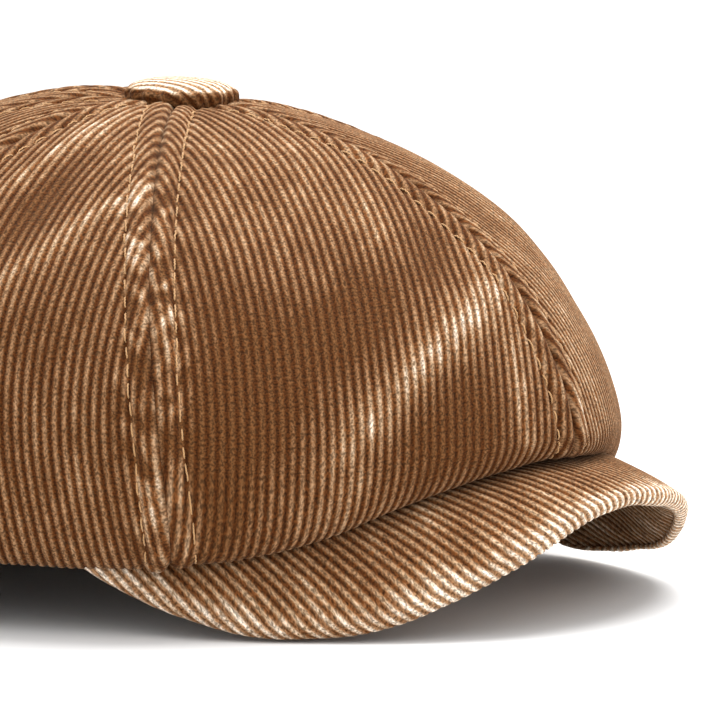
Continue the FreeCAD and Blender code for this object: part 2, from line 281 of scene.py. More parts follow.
# ---------------------------------------------------------------- meshes
def make_mesh(name, co, faces, uv, marks):
    """A mesh from points in the row's frame and quads whose repeated corners are dropped."""
    faces = np.asarray(faces).reshape(-1, 4)
    same = faces == np.roll(faces, -1, axis=1)
    keep = (same.sum(1) <= 1) & (faces[:, 0] != faces[:, 2]) & (faces[:, 1] != faces[:, 3])
    faces, same = faces[keep], same[keep]
    corners = faces[~same]
    count = 4 - same.sum(1)
    used, corners = np.unique(corners, return_inverse=True)
    corners = corners.reshape(-1)
    mesh = bpy.data.meshes.new(name)
    mesh.vertices.add(len(used))
    mesh.vertices.foreach_set("co", np.asarray(co, np.float32).reshape(-1, 3)[used].ravel())
    mesh.loops.add(len(corners))
    mesh.loops.foreach_set("vertex_index", corners.astype(np.int32))
    mesh.polygons.add(len(count))
    mesh.polygons.foreach_set("loop_start", (np.cumsum(count) - count).astype(np.int32))
    mesh.update(calc_edges=True)
    mesh.validate()
    mesh.shade_smooth()
    if uv is not None:
        layer = mesh.uv_layers.new(name="UVMap")
        layer.data.foreach_set("uv", np.asarray(uv, np.float32).reshape(-1, 2)[used][corners].ravel())
    for label, values in (marks or {}).items():
        mark = mesh.attributes.new(label, "FLOAT", "POINT")
        mark.data.foreach_set("value", np.asarray(values, np.float32).ravel()[used])
    return mesh


def build(name, co, faces, uv, marks, material, replaced):
    """A piece of the cap in place of its CAD nodes."""
    mesh = make_mesh(name, co, faces, uv, marks)
    mesh.materials.append(material)
    piece = bpy.data.objects.new(name, mesh)
    bpy.context.scene.collection.objects.link(piece)
    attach(piece, "root")
    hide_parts(*replaced)
    return piece


def quads(index):
    """Four-cornered faces between the rows and columns of a grid of point numbers."""
    return np.stack([index[:-1, :-1], index[:-1, 1:], index[1:, 1:], index[1:, :-1]], -1).reshape(-1, 4)


def join(parts):
    """Several (points, faces, uv, marks) as one."""
    co, faces, uv, marks, start = [], [], [], {}, 0
    for p, f, t, m in parts:
        p = np.asarray(p).reshape(-1, 3)
        co.append(p)
        faces.append(np.asarray(f).reshape(-1, 4) + start)
        uv.append(np.asarray(t).reshape(-1, 2))
        for label, values in m.items():
            marks.setdefault(label, []).append(np.asarray(values).ravel())
        start += len(p)
    return (np.concatenate(co), np.concatenate(faces), np.concatenate(uv),
            {k: np.concatenate(v) for k, v in marks.items()})


# ---------------------------------------------------------------- cloth relief
def wale(phase, depth):
    """A rounded rib with a narrow groove at every whole number."""
    f = np.abs((phase % 1.0) - 0.5) * 2.0
    return -depth * (0.16 * f * f + 0.84 * smooth((f - 0.45) / 0.55))


def crown_relief(u, v, low, high, seeds, crumple):
    """Height over the smooth crown, and its lightness from wear with painted light and shade, for a
    point u across a panel and v along it whose seams lie at low and high. crumple is how much each of
    the two seams puckers."""
    lift = np.zeros_like(u)
    wear_and_painted_light = np.zeros_like(u)
    wide = np.maximum(high - low, 1.0)
    for edge, seed, much in ((u - low, seeds[0], crumple[0]), (high - u, seeds[1], crumple[1])):
        d = np.maximum(edge, 0.0)
        room = np.minimum(wide / 13.0, 1.0)
        # the seam sinks in, the band up to the stitching stands proud
        groove = -1.25 * np.clip(1.0 - d / 1.7, 0.0, 1.0) ** 2
        band = np.clip(d / stitch_from_seam, 0.0, 1.0)
        proud = 0.55 * np.sin(np.pi * band) ** 0.8 * (d < stitch_from_seam)
        pucker = 0.7 * noise(v / 4.6 + 0.25 * d, d / 4.0 + 7.0, seed)
        pucker = pucker + 0.6 * noise(v / 2.4, d / 2.6, seed + 1)
        pucker = much * (0.25 + 0.75 * smooth((v - 35.0) / 45.0)) * np.tanh(2.0 * pucker)
        near = np.exp(-((d - 3.0) / 3.2) ** 2)
        tail = np.exp(-(np.maximum(d - stitch_from_seam, 0.0) / 4.0) ** 2) * (d >= 3.0) * (1 - near)
        sewn = -0.42 * np.exp(-((d - stitch_from_seam) / 0.85) ** 2)
        lift += room * (groove + proud + sewn + (0.34 * near + 0.20 * tail) * pucker)
        # puckers that stand up are painted paler and their hollows darker: partly wear, partly painted
        # light and shade
        wear_and_painted_light += room * (near * (0.02 + 0.95 * pucker) + tail * (0.02 + 0.40 * pucker))
    slow = noise(u / 26.0 + 3.1, v / 30.0 + 1.7, seeds[2]) + 0.5 * noise(u / 11.0, v / 16.0, seeds[2] + 5)
    lift += 0.55 * slow
    # where the slow bulges rise the cloth is painted paler: painted light along with wear
    wear_and_painted_light += 0.22 * slow
    return lift, wear_and_painted_light


def station(t):
    """Even steps of t give even steps over the dome."""
    return np.where(t < 1.0, np.sin(np.minimum(t, 1.0) * math.pi / 2), t)


# How far the ribs drift across each gore, mm, at distances down it
grain_lean = [[(0, 0), (30, -4.5), (60, -4.5), (90, -1), (120, 4), (160, 11)],
              [(0, 0), (160, 0)], [(0, 0), (160, 0)], [(0, 0), (200, 0)]]


class Panel:
    """One gore as flat cloth: v runs along its middle line and u across it, in mm."""

    step = 0.9

    def __init__(self, panel, side):
        """panel counts from the front and side is 1 on the wearer's right, -1 on the left."""
        self.panel, self.side = panel, side
        self.name = "crown_panel_%s_%s" % (panel_names[panel], "right" if side > 0 else "left")
        low, high = seam_angles[panel], seam_angles[panel + 1]
        tau = np.linspace(0.03, 2.99, 1500)
        along = path_length(crown_point(side * (low + high) / 2, station(tau), panel))
        self.v = np.arange(0.0, along[-1], self.step)
        self.s = station(np.interp(self.v, along, tau))
        gap = np.degrees(0.05 / np.maximum(np.minimum(self.s, 1.0) * 115.0, 4.0))[:, None]
        self.fan = np.clip(np.linspace(low, high, 45)[None, :], low + gap, high - gap)
        across = path_length(crown_point(self.fan * side, self.s[:, None], panel))
        self.across = across - across[:, 22:23]
        key = 7 * panel + (0 if side > 0 else 50)
        self.seeds = (11 + key, 14 + key, 100 + key)
        self.crumple = (0.45, 1.0) if panel == 0 else (1.0, 1.0)
        self.lean = table(grain_lean[panel], self.v) - grain_lean[panel][0][1]

    def relief(self, u, v, low, high):
        """Height, lightness from wear with painted light and shade, rib count and rib height at u and v,
        between seams at low and high.
        """
        lift, wear_and_painted_light = crown_relief(u, v, low, high, self.seeds, self.crumple)
        for patch in creases_wear_and_painted_light.get(self.name, []):
            u0, v0, long, wide, turn, height, light = patch
            a = math.radians(turn)
            p = (u - u0) * math.sin(a) + (v - v0) * math.cos(a)
            q = (u - u0) * math.cos(a) - (v - v0) * math.sin(a)
            fade = np.exp(-((p / long) ** 2 + (q / wide) ** 2))
            # a patch's lightness paints the light and shade of its crease, along with wear
            lift, wear_and_painted_light = lift + height * fade, wear_and_painted_light + light * fade
        drift = np.interp(v, self.v, self.lean)
        phase = (u - drift) / pitch + 0.10 * noise(u / 14.0, v / 22.0, self.seeds[2] + 2) + 40.0
        edge = np.minimum(u - low, high - u)
        sewn_flat = 0.40 + 0.60 * smooth((edge - 1.0) / 5.0)
        crushed_flat = 0.2 + 0.8 * smooth((wear_and_painted_light + 1.0) / 0.9)
        return lift, wear_and_painted_light, phase, wale(phase, 0.42) * sewn_flat * crushed_flat

    def point(self, u, v):
        """Skin and normal at one place, without the ribs."""
        i = min(int(v / self.step), len(self.v) - 2)
        f = v / self.step - i
        mixed = [(1 - f) * row[i] + f * row[i + 1] for row in (self.across, self.fan)]
        angle = float(np.interp(u, *mixed)) * self.side
        s = (1 - f) * self.s[i] + f * self.s[i + 1]
        lift = self.relief(np.array(u), np.array(v), mixed[0][0], mixed[0][-1])[0]
        n = crown_normal(angle, s, self.panel)
        return crown_point(angle, s, self.panel) + n * lift, n, mixed[0]


# Creases, crushed nap and wear, with painted light and shade: a raised crease is painted paler as its
# lit ridge and a dent darker as its shade, and the front left gore is painted paler as sheen.
# Columns: u, v, half length, half width, turn from the ribs, height, lightness
creases_wear_and_painted_light = {
    "crown_panel_front_right": [
        (-15, 113, 34, 5.6, 54, 0.9, 1.00), (-23, 129, 18, 13, 54, -0.5, -0.95),
        (0, 100, 22, 9, 57, -0.4, -0.95), (28, 118, 30, 13, 14, 0.0, -1.15),
        (-28, 86, 10, 6, 20, -0.9, -0.8), (-41, 88, 12, 5, 0, 0.5, 0.35),
        (-39, 125, 16, 3.0, 4, 0.25, 0.95), (-46, 112, 14, 5, 0, 0.0, 0.4),
        (0, 36, 12, 45, 0, 0.0, 0.25), (8, 72, 18, 20, 0, 0.0, 0.25),
        (-16, 66, 14, 9, 0, 0.3, 0.40), (42, 132, 16, 5, 0, 0.0, -0.5)],
    "crown_panel_front_left": [
        (-43, 118, 26, 9, 0, 0.0, 0.30), (0, 100, 60, 60, 0, 0.0, 0.15),
        (0, 107, 20, 34, 0, -1.8, 0.0)],
    "crown_panel_side_front_right": [
        (3, 46, 20, 3.6, 16, 0.7, 0.75), (-3, 66, 17, 4.2, 10, -0.5, -0.7),
        (-13, 78, 22, 4.0, 34, 0.5, 0.65), (-10, 100, 9, 9, 0, 0.0, -0.3),
        (-24, 118, 18, 18, 0, 0.0, -0.35), (-38, 138, 16, 6, 0, 0.0, -0.6)]}


def turned_edges(outer, normal, uv, wear_and_painted_light, ids):
    """A gore's cut edges, turned in at the seams."""
    rim = np.concatenate([ids[:, 0], ids[-1, 1:], ids[::-1, -1], ids[0, ::-1]])
    n = len(rim)
    ring = outer.reshape(-1, 3)[rim]
    both = np.stack([ring, ring - normal.reshape(-1, 3)[rim] * cloth])
    faces = quads(np.arange(2 * n).reshape(2, n))[:, ::-1]
    marks = {"wear_and_painted_light": np.broadcast_to(wear_and_painted_light.reshape(-1)[rim], (2, n))}
    return both, faces, np.broadcast_to(uv.reshape(-1, 2)[rim], (2, n, 2)), marks


def gore_back(gore):
    """The back of a gore's cloth, a coarser sheet inside the crown."""
    every = np.unique(np.append(np.arange(0, len(gore.s), 5), len(gore.s) - 1))
    ends = (gore.fan * gore.side)[every]
    angle = np.linspace(ends[:, 0], ends[:, -1], 9).T
    s = np.broadcast_to(gore.s[every, None], angle.shape)
    depth = cloth + 0.6
    points = crown_point(angle, s, gore.panel) - crown_normal(angle, s, gore.panel) * depth
    blank = np.zeros(angle.shape)
    faces = quads(np.arange(blank.size).reshape(blank.shape))[:, ::-1]
    return points, faces, np.stack([blank, blank], -1), {"wear_and_painted_light": blank}


def crown_panel(gore, material):
    """One gore: its face with every rib, its turned edges and its back."""
    across, v = gore.across, gore.v
    step = pitch / 8.0
    left = across.min() - gore.lean.max() - 2.0
    right = across.max() - gore.lean.min() + 2.0
    cols = np.arange(math.floor(left / step), math.ceil(right / step)) * step
    cols = cols[None, :] + gore.lean[:, None]
    u = np.clip(cols, across[:, :1], across[:, -1:])
    rows = range(len(gore.s))
    angle = np.stack([np.interp(u[i], across[i], gore.fan[i]) for i in rows]) * gore.side
    s = np.broadcast_to(gore.s[:, None], angle.shape)
    normal = crown_normal(angle, s, gore.panel)
    vv = np.broadcast_to(v[:, None], u.shape)
    lift, wear_and_painted_light, phase, rib = gore.relief(u, vv, across[:, :1], across[:, -1:])
    outer = crown_point(angle, s, gore.panel) + normal * (lift + rib)[..., None]
    uv = np.stack([phase, vv / pitch + 13.0 * gore.panel], -1)
    # every column past a seam stands for the seam's own point
    first = (cols <= across[:, :1]).sum(1) - 1
    last = u.shape[1] - (cols >= across[:, -1:]).sum(1)
    pick = np.clip(np.arange(u.shape[1])[None, :], first[:, None], last[:, None])
    ids = np.take_along_axis(np.arange(u.size).reshape(u.shape), pick, 1)
    parts = [(outer, quads(ids), uv, {"wear_and_painted_light": wear_and_painted_light}),
             turned_edges(outer, normal, uv, wear_and_painted_light, ids), gore_back(gore)]
    co, faces, uv, marks = join(parts)
    if gore.side < 0:
        faces = faces[:, ::-1]
    return build(gore.name, placed(co), faces, uv, marks, material, [gore.name])


# ---------------------------------------------------------------- topstitching
def stitch(points, normals):
    """One stitch: a thread that comes up through the cloth and goes down again."""
    sides = 7
    points, normals = np.array(points), np.array(normals)
    run = unit(np.gradient(points, axis=0))
    beside = unit(np.cross(run, normals))
    rise = np.cross(beside, run)
    turn = np.arange(sides) * 2 * math.pi / sides
    ring = np.cos(turn)[None, :, None] * beside[:, None] + np.sin(turn)[None, :, None] * rise[:, None]
    co = points[:, None] + ring * thread_radius
    ids = np.arange(co.shape[0] * sides).reshape(-1, sides)
    faces = quads(np.concatenate([ids, ids[:, :1]], 1))
    caps = [[e[0], e[k], e[k + 1]] for e in (ids[0], ids[-1, ::-1]) for k in range(1, sides - 1)]
    ends = np.array(caps)[:, [0, 1, 2, 2]]
    around, along = np.meshgrid(turn / (2 * math.pi), path_length(points))
    return co, np.concatenate([faces, ends]), np.stack([around, along], -1)


def stitch_row(node, gore, at_low, material, rng):
    """A row of stitches beside one seam, from near the button to under the fold."""
    parts = []
    v = 15.0
    end = float(np.interp(1.85, gore.s, gore.v))
    while v < end:
        long = stitch_length * (0.80 + 0.06 * rng.standard_normal())
        drift = rng.normal(0.0, 0.10, 2)
        points, normals = [], []
        for k in range(9):
            q = k / 8.0 - 0.5
            spot = v + q * long
            row = gore.across[int(round(spot / gore.step))]
            middle = (row[-1] - row[0]) / 2
            off = min(stitch_from_seam, middle - 0.4) + drift[0] + q * drift[1]
            u = row[0] + off if at_low else row[-1] - off
            p, n, _ = gore.point(u, spot)
            points.append(p + n * (0.27 - 0.80 * (2 * abs(q)) ** 2.6))
            normals.append(n)
        co, faces, uv = stitch(points, normals)
        parts.append((co, faces, uv, {}))
        v += stitch_length * (1.0 + 0.03 * rng.standard_normal())
    co, faces, uv, _ = join(parts)
    return build(node, placed(co), faces, uv, None, material, [node])


def topstitching(gores, material):
    """A row of stitches beside each seam of every gore."""
    rng = np.random.default_rng(7)
    seam_names = ["seam_front", "seam_front_side", "seam_side", "seam_rear_side", "seam_rear"]
    for gore in gores:
        name = "right" if gore.side > 0 else "left"
        for seam, at_low in ((gore.panel, True), (gore.panel + 1, False)):
            node = "stitch_%s_%s" % (seam_names[seam], name)
            if 0 < seam < 4:
                node += "_aft" if at_low else "_fore"
            stitch_row(node, gore, at_low, material, rng)


# ---------------------------------------------------------------- inside the cap
def lining_point(angle, s, panel, depth):
    """s runs 0 to 1 inside the dome and 1 to 2 down behind the sweatband."""
    hung = crown_point(angle, np.minimum(s, 1.0) * lining_turn, panel) - lining_centre
    point = lining_centre + hung * (lining_scale - depth / np.linalg.norm(hung, axis=-1))[..., None]
    x, y = opening_point(angle, lining_foot_out - depth)
    foot = np.stack([x, y, np.full_like(x, band_foot + lining_foot)], -1)
    return point + (foot - point) * np.maximum(s - 1.0, 0.0)[..., None]


def lining_panel(panel, side, material):
    """One gore of the lining, loose enough to ripple."""
    name = "lining_panel_%s_%s" % (panel_names[panel], "right" if side > 0 else "left")
    tau = np.concatenate([np.linspace(0.004, 0.985, 80), np.linspace(1.0, 2.0, 26)[1:]])
    s = station(tau)[:, None]
    low, high = seam_angles[panel], seam_angles[panel + 1]
    q = np.linspace(0.0, 1.0, 41)[None, :]
    angle = np.broadcast_to((low + (high - low) * q) * side, (len(s), 41))
    s = np.broadcast_to(s, angle.shape)
    wide = np.minimum(s, 1.0) * 105.0 * math.radians(high - low)
    edge = np.minimum(q, 1 - q) * wide
    slack = (0.9 * np.exp(-(edge / 1.0) ** 2) - 1.1 * noise(angle / 9.0 + 20, s * 5.0, 500 + panel)
             * smooth(edge / 9.0) * smooth((2.0 - s) / 0.5))
    inner = lining_point(angle, s, panel, lining_cloth_thickness - slack)
    outer = lining_point(angle, s, panel, np.zeros_like(s))
    sides = []
    for face, order in ((inner, -1), (outer, 1)):
        f = quads(np.arange(angle.size).reshape(angle.shape))
        uv = np.stack([q * wide + 50 * panel, s * 100.0], -1)
        sides.append((face, f[:, ::order * side], uv, {}))
    co, faces, uv, _ = join(sides)
    return build(name, placed(co), faces, uv, None, material, [name])


def band(name, outward, thick, foot, height, wave, material, slot):
    """A ring of cloth with rounded edges round the head opening."""
    t = np.linspace(-179.8, 179.8, 541)
    arc = np.linspace(0.0, math.pi, 9)
    r = thick / 2
    section = ([(r * np.cos(a), height - r + r * np.sin(a)) for a in arc]
               + [(-r, z) for z in np.linspace(height - r, r, 26)[1:-1]]
               + [(-r * np.cos(a), r - r * np.sin(a)) for a in arc]
               + [(r, z) for z in np.linspace(r, height - r, 8)[1:-1]])
    section = np.array(section + section[:1])
    x, y = opening_point(t[:, None], outward + r + section[None, :, 0])
    z = np.broadcast_to(foot + section[None, :, 1], x.shape)
    ripple = wave * noise(t[:, None] / 8.0 + 30.0, z / 14.0, 611)
    x, y = x * (1 + ripple / 90.0), y * (1 + ripple / 90.0)
    co = np.stack([x, y, z], -1)
    ids = np.arange(x.size).reshape(x.shape)
    run = np.radians(t)[:, None] * 91.0 + 0 * z
    return build(name, placed(co), quads(ids), np.stack([run, z], -1), None, material, [name])


# ---------------------------------------------------------------- materials
class Nodes:
    """Short hand for wiring a material."""

    def __init__(self, name):
        """A new material with only a shader and its output."""
        self.material = bpy.data.materials.new(name)
        self.material.use_nodes = True
        self.tree = self.material.node_tree
        self.tree.nodes.clear()
        self.out = self.add("ShaderNodeOutputMaterial")
        self.skin = self.add("ShaderNodeBsdfPrincipled")
        self.tree.links.new(self.skin.outputs[0], self.out.inputs[0])

    def add(self, kind, **sets):
        """A node with some of its settings."""
        node = self.tree.nodes.new(kind)
        for key, value in sets.items():
            setattr(node, key, value)
        return node

    def put(self, socket, value):
        """Feeds a socket from another node or with a constant."""
        if isinstance(value, bpy.types.NodeSocket):
            self.tree.links.new(value, socket)
        else:
            socket.default_value = value

    def calc(self, operation, *values, clamp=False):
        """One step of arithmetic."""
        node = self.add("ShaderNodeMath", operation=operation, use_clamp=clamp)
        for socket, value in zip(node.inputs, values):
            self.put(socket, value)
        return node.outputs[0]

    def span(self, value, a, b, c=0.0, d=1.0):
        """Maps a to b smoothly on c to d."""
        node = self.add("ShaderNodeMapRange", interpolation_type="SMOOTHSTEP")
        for socket, v in zip(node.inputs, (value, a, b, c, d)):
            self.put(socket, v)
        return node.outputs[0]

    def vector(self, x, y, z=0.0):
        """A vector from its parts."""
        node = self.add("ShaderNodeCombineXYZ")
        for socket, v in zip(node.inputs, (x, y, z)):
            self.put(socket, v)
        return node.outputs[0]

    def grain(self, vector, scale, detail=2.0, rough=0.5):
        """Noise from 0 to 1."""
        node = self.add("ShaderNodeTexNoise")
        self.put(node.inputs["Vector"], vector)
        self.put(node.inputs["Scale"], scale)
        self.put(node.inputs["Detail"], detail)
        self.put(node.inputs["Roughness"], rough)
        return node.outputs[0]

    def mix(self, amount, a, b):
        """Colour a at 0 and b at 1."""
        node = self.add("ShaderNodeMix", data_type="RGBA")
        self.put(node.inputs[0], amount)
        self.put(node.inputs[6], a)
        self.put(node.inputs[7], b)
        return node.outputs[2]

    def ramp(self, value, *colours):
        """Colour for a value from 0 to 1, through four colours."""
        node = self.add("ShaderNodeValToRGB")
        stops = node.color_ramp.elements
        while len(stops) < len(colours):
            stops.new(0.5)
        for stop, place, colour in zip(stops, (0.0, 0.38, 0.67, 1.0), colours):
            stop.position = place
            stop.color = linear(*colour)
        self.put(node.inputs[0], value)
        return node.outputs[0]

    def flat(self):
        """The cloth's own two coordinates, across its ribs or threads and along them."""
        split = self.add("ShaderNodeSeparateXYZ")
        self.put(split.inputs[0], self.add("ShaderNodeTexCoord").outputs["UV"])
        return split.outputs[0], split.outputs[1]

    def finish(self, rough, sheen, height, strength, distance):
        """Roughness, sheen and bump."""
        bump = self.add("ShaderNodeBump")
        self.put(bump.inputs["Strength"], strength)
        self.put(bump.inputs["Distance"], distance)
        self.put(bump.inputs["Height"], height)
        self.put(self.skin.inputs["Normal"], bump.outputs[0])
        self.put(self.skin.inputs["Roughness"], rough)
        self.put(self.skin.inputs["Sheen Weight"], sheen)
        self.put(self.skin.inputs["Sheen Roughness"], 0.5)

    def mark(self, name):
        """A value stored with the mesh's points."""
        return self.add("ShaderNodeAttribute", attribute_name=name).outputs["Fac"]


def linear(*colour):
    """A screen colour, 0 to 255, as the renderer's linear one."""
    parts = [c / 255 for c in colour]
    return (*[c / 12.92 if c <= 0.04045 else ((c + 0.055) / 1.055) ** 2.4 for c in parts], 1.0)


def pile_noise(m, flat, across, down, detail, rough):
    """Noise about zero, with across and down grains to a rib's width."""
    where = m.vector(m.calc("MULTIPLY", flat[0], across), m.calc("MULTIPLY", flat[1], down))
    return m.calc("SUBTRACT", m.grain(where, 1.0, detail, rough), 0.5)


def pile_colour(m, level, away):
    """The colour at a level of wear and painted light from 0 to 1, and at a distance from a rib's top
    from 0 to 1.
    """
    groove = m.ramp(level, (70, 37, 13), (72, 37, 13), (104, 62, 31), (146, 110, 78))
    pile = m.ramp(level, (88, 53, 26), (102, 65, 35), (132, 91, 56), (184, 150, 118))
    top = m.ramp(level, (102, 67, 38), (143, 107, 76), (171, 142, 112), (240, 226, 208))
    # grooves painted darker, partly the woven ground and partly painted shade; rib tops painted paler,
    # partly wear and partly painted highlight
    colour = m.mix(m.span(away, 0.42, 0.86), pile, groove)
    return m.mix(m.span(away, 0.62, 0.14), colour, top)


def corduroy(name):
    """Brown pile in ribs. The mark read here runs from about -1, where the nap is crushed and dark, to
    above 1, where it is pale; it holds wear together with painted light and shade. Each rib's top is
    lighter, partly wear and partly painted highlight, and its grooves darker, partly the woven ground
    and partly painted shade."""
    m = Nodes(name)
    phase, along = m.flat()
    fibre = pile_noise(m, (phase, along), 2.8, 2.2, 2.0, 0.6)
    fine = pile_noise(m, (phase, along), 4.4, 3.6, 1.0, 0.5)
    cloud = pile_noise(m, (phase, along), 0.14, 0.085, 2.0, 0.5)
    rib = m.calc("MULTIPLY", m.calc("FLOOR", phase), 3.7)
    each_rib = m.vector(rib, m.calc("MULTIPLY", along, 0.28))
    streak = m.calc("SUBTRACT", m.grain(each_rib, 1.0, 2.0, 0.55), 0.5)
    level = m.mark("wear_and_painted_light")
    calm = m.span(m.mark("wear_and_painted_light"), -1.2, 0.1, 0.5, 1.7)
    for part, share in ((streak, calm), (cloud, 1.2), (fibre, 1.3)):
        level = m.calc("ADD", level, m.calc("MULTIPLY", part, share))
    level = m.calc("DIVIDE", m.calc("ADD", level, 0.8), 2.1)
    away = m.calc("MULTIPLY", m.calc("ABSOLUTE", m.calc("SUBTRACT", m.calc("FRACT", phase), 0.5)), 2.0)
    away = m.calc("ADD", away, m.calc("MULTIPLY", fibre, 1.4))
    colour = pile_colour(m, level, away)
    # cross threads show in the grooves, pile grain everywhere
    ladder = m.calc("SINE", m.calc("ADD", m.calc("MULTIPLY", along, 23.0), m.calc("MULTIPLY", fibre, 5.0)))
    ladder = m.calc("MULTIPLY", m.calc("MULTIPLY", ladder, m.span(away, 0.45, 0.75)), 0.10)
    speck = m.calc("ADD", fine, m.calc("MULTIPLY", fibre, 0.8))
    shade = m.calc("ADD", m.span(speck, -0.25, 0.25, 0.46, 1.54), ladder)
    tint = m.add("ShaderNodeVectorMath", operation="SCALE")
    m.put(tint.inputs[0], colour)
    m.put(tint.inputs["Scale"], shade)
    m.put(m.skin.inputs["Base Color"], tint.outputs[0])
    m.finish(0.92, 0.10, m.calc("ADD", fibre, m.calc("MULTIPLY", fine, 0.7)), 0.6, 0.0004)
    m.put(m.skin.inputs["Specular IOR Level"], 0.06)
    m.put(m.skin.inputs["Sheen Tint"], linear(240, 215, 185))
    return m.material


def woven(name, dark, light, thread, slant, rough, sheen):
    """Cloth with threads of the given width in mm: a slant of 0 is a plain weave, 1 a twill."""
    m = Nodes(name)
    across, along = m.flat()
    turn = 2.0 * math.pi / thread
    slanted = m.calc("ADD", across, m.calc("MULTIPLY", along, slant))
    first = m.calc("SINE", m.calc("MULTIPLY", slanted, turn))
    second = m.calc("SINE", m.calc("MULTIPLY", along, turn * (1.0 - 0.6 * slant)))
    if slant == 0:
        weave = m.calc("MULTIPLY", first, second)
    else:
        weave = m.calc("ADD", first, m.calc("MULTIPLY", second, 0.3))
    uneven = m.vector(m.calc("MULTIPLY", across, 0.5), m.calc("MULTIPLY", along, 3.0))
    slub = m.calc("SUBTRACT", m.grain(uneven, 1.0, 3.0, 0.6), 0.5)
    cloud = m.calc("SUBTRACT", m.grain(m.vector(across, along), 0.05, 3.0, 0.5), 0.5)
    blotch = m.calc("MULTIPLY", m.calc("ADD", slub, cloud), 1.1)
    level = m.calc("ADD", m.calc("MULTIPLY", weave, 0.25), blotch)
    m.put(m.skin.inputs["Base Color"], m.mix(m.span(level, -0.6, 0.6), linear(*dark), linear(*light)))
    m.finish(rough, sheen, m.calc("ADD", weave, slub), 0.5, 0.0002)
    return m.material


def spun(name, dark, light):
    """Sewing thread: two plies twisted together."""
    m = Nodes(name)
    around, along = m.flat()
    winding = m.calc("ADD", m.calc("MULTIPLY", along, 1.6), around)
    twist = m.calc("SINE", m.calc("MULTIPLY", winding, 4.0 * math.pi))
    fuzz = m.calc("SUBTRACT", m.grain(m.vector(around, m.calc("MULTIPLY", along, 2.0)), 3.0, 2.0, 0.6), 0.5)
    level = m.calc("ADD", m.calc("MULTIPLY", twist, 0.4), fuzz)
    m.put(m.skin.inputs["Base Color"], m.mix(m.span(level, -0.6, 0.5), linear(*dark), linear(*light)))
    m.finish(0.6, 0.15, twist, 0.6, 0.0002)
    return m.material


def speckled(name, dark, light, scale, rough, bump):
    """Felt or moulded board: fine random grain with slow clouds."""
    m = Nodes(name)
    place = m.add("ShaderNodeTexCoord").outputs["Object"]
    fine = m.calc("SUBTRACT", m.grain(place, scale, 3.0, 0.65), 0.5)
    cloud = m.calc("SUBTRACT", m.grain(place, scale / 25.0, 2.0, 0.5), 0.5)
    level = m.calc("ADD", fine, m.calc("MULTIPLY", cloud, 0.5))
    m.put(m.skin.inputs["Base Color"], m.mix(m.span(level, -0.3, 0.3), linear(*dark), linear(*light)))
    m.finish(rough, 0.0, fine, bump, 0.0003)
    return m.material


def stamped(name, dark, light):
    """Stamped sheet metal: fine scratches along one way and slow clouds of tarnish."""
    m = Nodes(name)
    place = m.add("ShaderNodeTexCoord").outputs["Object"]
    stretched = m.add("ShaderNodeVectorMath", operation="MULTIPLY")
    m.put(stretched.inputs[0], place)
    m.put(stretched.inputs[1], (4.0, 1.0, 1.0))
    scratch = m.calc("SUBTRACT", m.grain(stretched.outputs[0], 1500.0, 3.0, 0.7), 0.5)
    cloud = m.calc("SUBTRACT", m.grain(place, 120.0, 2.0, 0.5), 0.5)
    level = m.calc("ADD", m.calc("MULTIPLY", scratch, 0.6), cloud)
    m.put(m.skin.inputs["Base Color"], m.mix(m.span(level, -0.4, 0.4), linear(*dark), linear(*light)))
    m.put(m.skin.inputs["Metallic"], 1.0)
    m.finish(0.38, 0.0, scratch, 0.3, 0.0001)
    return m.material


def plain(name, grey, rough):
    """The studio floor."""
    m = Nodes(name)
    m.put(m.skin.inputs["Base Color"], (grey, grey, grey, 1.0))
    m.put(m.skin.inputs["Roughness"], rough)
    return m.material


# ---------------------------------------------------------------- visor
def visor_shape(x, y):
    """The visor's middle surface."""
    return visor_middle(x, y) + left_lift(x, y)


def visor_normal(x, y):
    """Upward normal of the visor's middle surface."""
    h = 0.4
    dx = (visor_shape(x + h, y) - visor_shape(x - h, y)) / (2 * h)
    dy = (visor_shape(x, y + h) - visor_shape(x, y - h)) / (2 * h)
    return unit(np.stack([-dx, -dy, np.ones_like(dx)], -1))


# The ribs' spacing across the visor follows its slope along a line half way out to the rim
across_x = np.linspace(-106.0, 106.0, 1061)
edge_x = 86.0  # beyond it the slope stays what it is there
middle_y = table([(0, -125), (30, -118), (60, -93), (80, -60), (88, -50)], np.abs(across_x))
slope_x = np.clip(across_x, -edge_x, edge_x)
slope = (visor_shape(slope_x + 0.4, middle_y) - visor_shape(slope_x - 0.4, middle_y)) / 0.8
steps_u = np.hypot(1.0, (slope[1:] + slope[:-1]) / 2) * np.diff(across_x)
across_u = np.concatenate([[0.0], np.cumsum(steps_u)])
across_u -= across_u[len(across_u) // 2]
rim_angle = np.linspace(-visor_end_angle, visor_end_angle, 1321)


def rim_line(setback):
    """The visor's outline in plan, drawn in by setback."""
    r = table(visor_reach, np.abs(rim_angle)) - setback
    t = np.radians(rim_angle)
    return -r * np.sin(t), -r * np.cos(t)


def rim_frame():
    """The roll's centre line in the flat cloth and in space, its outward direction and the visor's
    normal there."""
    x, y = rim_line(roll)
    centre = np.stack([x, y, visor_shape(x, y)], -1)
    normal = visor_normal(x, y)
    run = unit(np.gradient(centre, axis=0))
    out = unit(np.cross(normal, run))
    away = np.sign((out[:, :2] * centre[:, :2]).sum(1, keepdims=True))
    return np.interp(x, across_x, across_u), y, centre, out * away, normal


def beyond(u, y, line_u, line_y):
    """Distance in the flat cloth to the roll's centre line, and the nearest place on it."""
    far = np.empty(len(u))
    near = np.empty(len(u), int)
    for k in range(0, len(u), 4000):
        du = u[k:k + 4000, None] - line_u[None, :]
        dy = y[k:k + 4000, None] - line_y[None, :]
        d = du * du + dy * dy
        near[k:k + 4000] = d.argmin(1)
        far[k:k + 4000] = np.sqrt(d.min(1))
    return far, near


